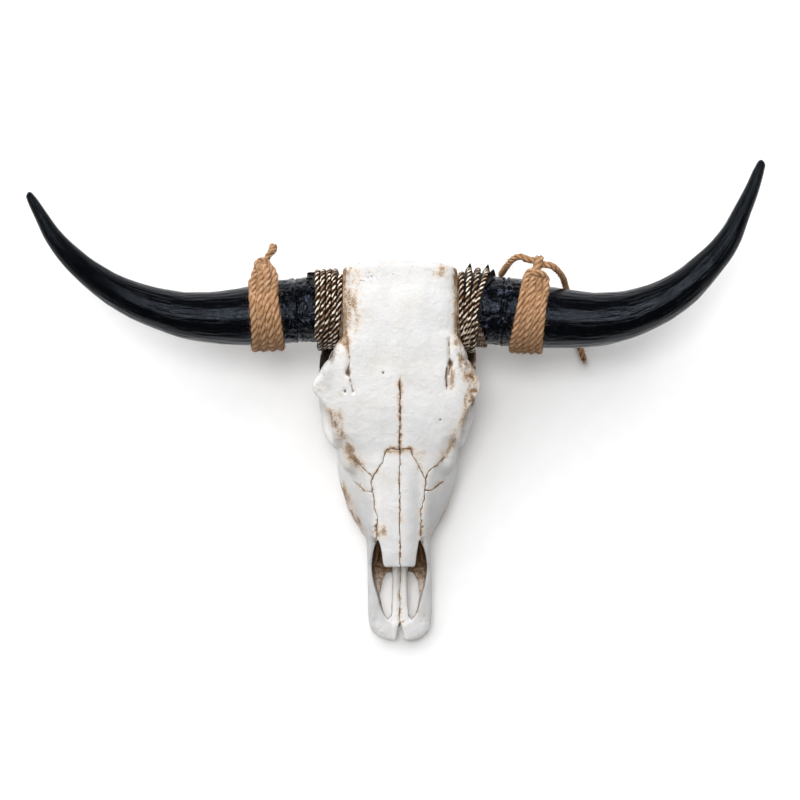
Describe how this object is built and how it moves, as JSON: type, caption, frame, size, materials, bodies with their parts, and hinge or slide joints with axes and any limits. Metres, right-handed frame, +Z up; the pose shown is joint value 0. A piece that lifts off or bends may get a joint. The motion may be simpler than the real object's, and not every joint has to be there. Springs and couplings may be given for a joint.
{
  "type": "longhorn steer skull",
  "caption": "Longhorn steer skull with long dark horns, cord wound round the horn bases and jute rope round the horns, lying on its cheek teeth as a still model.",
  "frame": {"origin": "on the floor, under the middle of the whole object's box, horn tips included", "axes": "+X is the animal's left, which is the picture's right; +Y runs from the nose to the poll, up in the picture; +Z is up off the floor, out of the forehead. Node names use the animal's own left and right."},
  "size_m": [0.9962, 0.6666, 0.2163],
  "materials": {
    "bone": "dry, pitted, with ochre and brown stain along the sutures",
    "horn": "polished black horn with fine long ridges",
    "leather": "dark, worn",
    "twisted_cord": "dark brown twisted cord with cream and gold lights",
    "jute": "rough tan twisted rope"
  },
  "bodies": {
    "root": {"frontal_left": "bone", "frontal_right": "bone", "lacrimal_left": "bone", "lacrimal_right": "bone", "maxilla_left": "bone", "maxilla_right": "bone", "nasal_left": "bone", "nasal_right": "bone", "premaxilla_left": "bone", "premaxilla_right": "bone", "temporal_left": "bone", "temporal_right": "bone", "zygomatic_left": "bone", "zygomatic_right": "bone", "occipital": "bone", "skull_base": "bone", "horn_left": "horn", "horn_right": "horn", "horn_collar_left": "leather", "horn_collar_right": "leather", "base_cord_left": "twisted_cord", "base_cord_right": "twisted_cord", "jute_wrap_left": "jute", "jute_wrap_right": "jute", "jute_knot_left": "jute", "jute_knot_right": "jute", "jute_tail_short": "jute", "jute_tail_long": "jute"}
  },
  "joints": []
}
